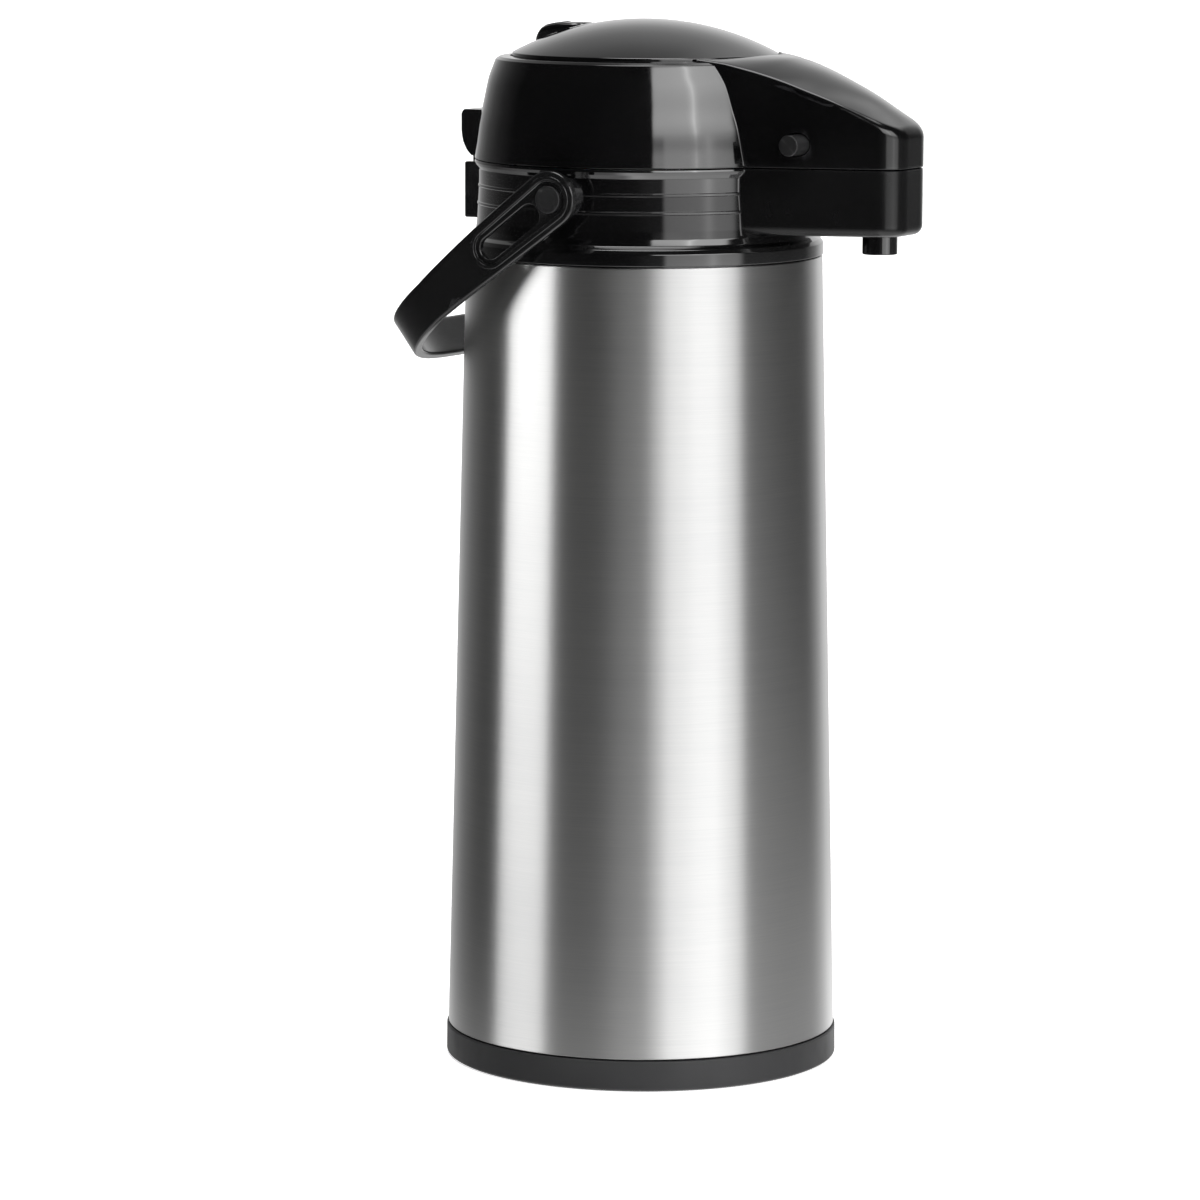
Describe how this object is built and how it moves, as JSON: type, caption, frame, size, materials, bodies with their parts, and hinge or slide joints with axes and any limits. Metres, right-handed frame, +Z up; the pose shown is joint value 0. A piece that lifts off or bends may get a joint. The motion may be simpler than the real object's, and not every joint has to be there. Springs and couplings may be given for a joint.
{
  "type": "thermal coffee airpot",
  "caption": "Tall brushed-steel vacuum flask with a black pump lid, a pouring spout, a swinging carrying bail and a hinged, latched head.",
  "frame": {"origin": "centre of the flat underside that the pot stands on", "axes": "+Z up along the pot's axis, +X towards the pouring spout, the lid's hinge at -X, the handle's pivots on the Y axis"},
  "size_m": [0.1806, 0.1384, 0.36],
  "materials": {
    "gloss_black_plastic": "glossy moulded",
    "dark_grey_plastic": "fine matt moulded",
    "brushed_steel": "brushed round the body",
    "polished_steel": "bright drawn",
    "black_rubber": "matt",
    "clear_silicone": "translucent milky",
    "white_plastic": "satin food-grade"
  },
  "bodies": {
    "vessel": {"base_cap": "dark_grey_plastic", "anti_slip_pad": "black_rubber", "flask_cushion": "black_rubber", "body_shell": "brushed_steel", "flask_outer_wall": "polished_steel", "flask_inner_wall": "polished_steel", "neck_gasket": "clear_silicone", "mouth_plate": "white_plastic", "dip_tube": "white_plastic", "outlet_pipe": "white_plastic", "pour_nozzle": "gloss_black_plastic", "collar": "gloss_black_plastic", "hinge_bracket": "gloss_black_plastic", "hinge_pin": "polished_steel", "bracket_screw_left": "polished_steel", "bracket_screw_right": "polished_steel", "pivot_stud_left": "gloss_black_plastic", "pivot_stud_right": "gloss_black_plastic", "pivot_cap_left": "gloss_black_plastic", "pivot_cap_right": "gloss_black_plastic"},
    "handle": {"carry_handle": "gloss_black_plastic"},
    "lid": {"lid_case": "gloss_black_plastic", "lid_hinge_arm": "gloss_black_plastic", "hinge_arm_screw_left": "polished_steel", "hinge_arm_screw_right": "polished_steel", "lid_floor": "white_plastic", "lid_floor_screw_1": "polished_steel", "lid_floor_screw_2": "polished_steel", "lid_floor_screw_3": "polished_steel", "lid_floor_screw_4": "polished_steel", "air_seal": "clear_silicone", "air_outlet_flap": "clear_silicone", "bellows": "clear_silicone", "return_spring": "polished_steel", "release_spring_left": "polished_steel", "release_spring_right": "polished_steel"},
    "pump": {"pump_dome": "gloss_black_plastic", "pump_plunger": "white_plastic", "air_inlet_flap": "clear_silicone"},
    "lock": {"dome_lock": "gloss_black_plastic"},
    "release_left": {"release_button_left": "gloss_black_plastic"},
    "release_right": {"release_button_right": "gloss_black_plastic"}
  },
  "joints": [
    {"name": "handle_swing", "type": "hinge", "parent": "vessel", "child": "handle", "pos_m": [0, 0, 0.3023], "axis": [0, 1, 0], "range_deg": [0, 185]},
    {"name": "lid_open", "type": "hinge", "parent": "vessel", "child": "lid", "pos_m": [-0.062, 0, 0.304], "axis": [0, -1, 0], "range_deg": [0, 95]},
    {"name": "pump_press", "type": "slide", "parent": "lid", "child": "pump", "axis": [0, 0, -1], "range_m": [0, 0.02], "stiffness_N_per_m": 300, "springref_m": -0.01, "deforming": ["bellows", "return_spring"]},
    {"name": "lock_slide", "type": "hinge", "parent": "pump", "child": "lock", "pos_m": [0, 0, 0.264], "axis": [0, -1, 0], "range_deg": [0, 3]},
    {"name": "release_left_press", "type": "slide", "parent": "lid", "child": "release_left", "axis": [0, -1, 0], "range_m": [0, 0.004], "stiffness_N_per_m": 300, "springref_m": -0.003, "deforming": ["release_spring_left"]},
    {"name": "release_right_press", "type": "slide", "parent": "lid", "child": "release_right", "axis": [0, 1, 0], "range_m": [0, 0.004], "stiffness_N_per_m": 300, "springref_m": -0.003, "deforming": ["release_spring_right"]}
  ]
}
